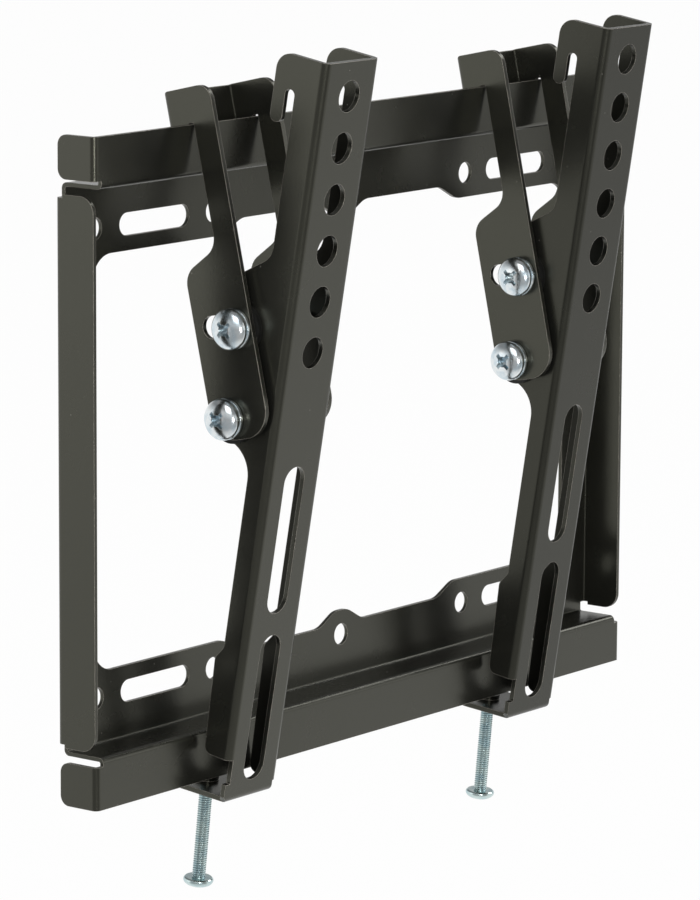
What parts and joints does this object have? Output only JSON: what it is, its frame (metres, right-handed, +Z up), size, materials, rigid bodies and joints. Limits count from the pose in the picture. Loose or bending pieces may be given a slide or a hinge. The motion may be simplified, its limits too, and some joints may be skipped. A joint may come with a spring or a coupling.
{
  "type": "tilting tv wall bracket",
  "caption": "Folded steel wall frame with tilt brackets hooked over its top rail and screen arms bolted in them, for a flat screen that leans forward.",
  "frame": {"origin": "centre of the four wall slots, on the face that lies on the wall", "axes": "+X along the wall, to the right seen from the front; +Y into the wall; +Z up"},
  "size_m": [0.2592, 0.0609, 0.25],
  "materials": {
    "black_powder_coat": "satin powder coat",
    "zinc_plate": "bright zinc",
    "black_spacers": "matt"
  },
  "bodies": {
    "wall_frame": {"wall_frame": "black_powder_coat"},
    "left_bracket": {"left_tilt_bracket": "black_powder_coat"},
    "left_arm": {"left_arm": "black_powder_coat", "left_outer_pivot_screw": "zinc_plate", "left_outer_pivot_washer": "zinc_plate", "left_outer_pivot_spacer": "black_spacers", "left_outer_pivot_nut": "zinc_plate", "left_outer_slot_screw": "zinc_plate", "left_outer_slot_washer": "zinc_plate", "left_outer_slot_spacer": "black_spacers", "left_outer_slot_nut": "zinc_plate", "left_inner_pivot_screw": "zinc_plate", "left_inner_pivot_washer": "zinc_plate", "left_inner_pivot_spacer": "black_spacers", "left_inner_pivot_nut": "zinc_plate", "left_inner_slot_screw": "zinc_plate", "left_inner_slot_washer": "zinc_plate", "left_inner_slot_spacer": "black_spacers", "left_inner_slot_nut": "zinc_plate"},
    "left_lock_screw": {"left_lock_screw": "zinc_plate"},
    "right_bracket": {"right_tilt_bracket": "black_powder_coat"},
    "right_arm": {"right_arm": "black_powder_coat", "right_outer_pivot_screw": "zinc_plate", "right_outer_pivot_washer": "zinc_plate", "right_outer_pivot_spacer": "black_spacers", "right_outer_pivot_nut": "zinc_plate", "right_outer_slot_screw": "zinc_plate", "right_outer_slot_washer": "zinc_plate", "right_outer_slot_spacer": "black_spacers", "right_outer_slot_nut": "zinc_plate", "right_inner_pivot_screw": "zinc_plate", "right_inner_pivot_washer": "zinc_plate", "right_inner_pivot_spacer": "black_spacers", "right_inner_pivot_nut": "zinc_plate", "right_inner_slot_screw": "zinc_plate", "right_inner_slot_washer": "zinc_plate", "right_inner_slot_spacer": "black_spacers", "right_inner_slot_nut": "zinc_plate"},
    "right_lock_screw": {"right_lock_screw": "zinc_plate"}
  },
  "joints": [
    {"name": "left_hook_tilt", "type": "hinge", "parent": "wall_frame", "child": "left_bracket", "pos_m": [-0.0716, -0.014, 0.096], "axis": [1, 0, 0], "range_deg": [0, 10.23]},
    {"name": "left_arm_tilt", "type": "hinge", "parent": "left_bracket", "child": "left_arm", "pos_m": [-0.0716, -0.02724, 0.01285], "axis": [1, 0, 0], "range_deg": [-18.2, 0]},
    {"name": "left_lock_slide", "type": "slide", "parent": "left_arm", "child": "left_lock_screw", "axis": [0, -0.1048, 0.9945], "range_m": [0, 0.01]},
    {"name": "right_hook_tilt", "type": "hinge", "parent": "wall_frame", "child": "right_bracket", "pos_m": [0.068, -0.014, 0.096], "axis": [1, 0, 0], "range_deg": [-0.74, 9.48]},
    {"name": "right_arm_tilt", "type": "hinge", "parent": "right_bracket", "child": "right_arm", "pos_m": [0.068, -0.02616, 0.01268], "axis": [1, 0, 0], "range_deg": [-16.86, 1.32]},
    {"name": "right_lock_slide", "type": "slide", "parent": "right_arm", "child": "right_lock_screw", "axis": [0, -0.0948, 0.9955], "range_m": [0, 0.01]}
  ],
  "couplings": [
    {"joint": "left_arm_tilt", "follows": "left_hook_tilt", "ratio": -1.778},
    {"joint": "right_arm_tilt", "follows": "right_hook_tilt", "ratio": -1.778}
  ]
}
